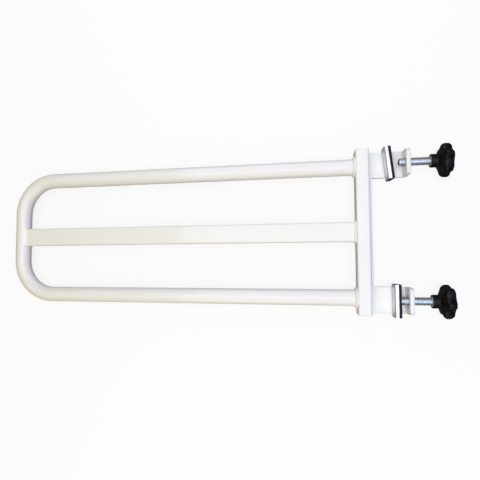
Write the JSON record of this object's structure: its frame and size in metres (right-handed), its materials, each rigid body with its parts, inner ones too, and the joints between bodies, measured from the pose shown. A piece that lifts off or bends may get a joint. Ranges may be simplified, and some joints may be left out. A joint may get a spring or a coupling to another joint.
{
  "type": "clamp-on bar frame",
  "caption": "Long U of white tube with a middle bar on an upright cross tube, held sideways to a rail by knob-driven screw clamps with sliding jaws.",
  "frame": {"origin": "middle of the cross tube's right wall, the fixed jaw face, level with the screw axes", "axes": "+X along the clamp screws towards the knobs, +Y up the cross tube, +Z towards the open front of the bracket"},
  "size_m": [0.7265, 0.2575, 0.05],
  "materials": {
    "white_powder_coat": "gloss white powder coat",
    "white_plastic": "moulded white, slightly softer gloss than the coat",
    "zinc_plate": "bright zinc plate",
    "insert_steel": "turned steel",
    "black_knob": "satin black moulding",
    "black_core": "dull black moulding",
    "jaw_steel": "bright drawn strip"
  },
  "bodies": {
    "frame": {"u_tube": "white_powder_coat", "middle_bar": "white_powder_coat", "cross_tube": "white_powder_coat", "upper_end_plug": "white_plastic", "lower_end_plug": "white_plastic", "clamp_bracket": "white_powder_coat", "rail_welds": "white_powder_coat", "bracket_welds": "white_powder_coat"},
    "upper_button_body": {"upper_tip_button": "zinc_plate"},
    "upper_screw_body": {"upper_screw": "zinc_plate", "upper_knob": "black_knob", "upper_knob_insert": "insert_steel"},
    "upper_jaw_body": {"upper_jaw_core": "black_core", "upper_jaw_shell": "jaw_steel"},
    "lower_button_body": {"lower_tip_button": "zinc_plate"},
    "lower_screw_body": {"lower_screw": "zinc_plate", "lower_knob": "black_knob", "lower_knob_insert": "insert_steel"},
    "lower_jaw_body": {"lower_jaw_core": "black_core", "lower_jaw_shell": "jaw_steel"}
  },
  "joints": [
    {"name": "upper_feed", "type": "slide", "parent": "frame", "child": "upper_button_body", "axis": [1, 0, 0], "range_m": [-0.0152, 0.009]},
    {"name": "upper_turn", "type": "hinge", "parent": "upper_button_body", "child": "upper_screw_body", "pos_m": [0.0427, 0.104, 0], "axis": [1, 0, 0], "range_deg": [-3126, 1850]},
    {"name": "upper_jaw_tilt", "type": "hinge", "parent": "upper_button_body", "child": "upper_jaw_body", "pos_m": [0.0296, 0.104, 0], "axis": [0, 0, 1], "range_deg": [-12.5, 1.5]},
    {"name": "lower_feed", "type": "slide", "parent": "frame", "child": "lower_button_body", "axis": [1, 0, 0], "range_m": [-0.0232, 0.0051]},
    {"name": "lower_turn", "type": "hinge", "parent": "lower_button_body", "child": "lower_screw_body", "pos_m": [0.0395, -0.104, 0], "axis": [1, 0, 0], "range_deg": [-4770, 1048]},
    {"name": "lower_jaw_tilt", "type": "hinge", "parent": "lower_button_body", "child": "lower_jaw_body", "pos_m": [0.0374, -0.104, 0], "axis": [0, 0, 1], "range_deg": [-6, 6]}
  ],
  "couplings": [
    {"joint": "upper_feed", "follows": "upper_turn", "m_per_rad": 0.00027852},
    {"joint": "lower_feed", "follows": "lower_turn", "m_per_rad": 0.00027852}
  ]
}
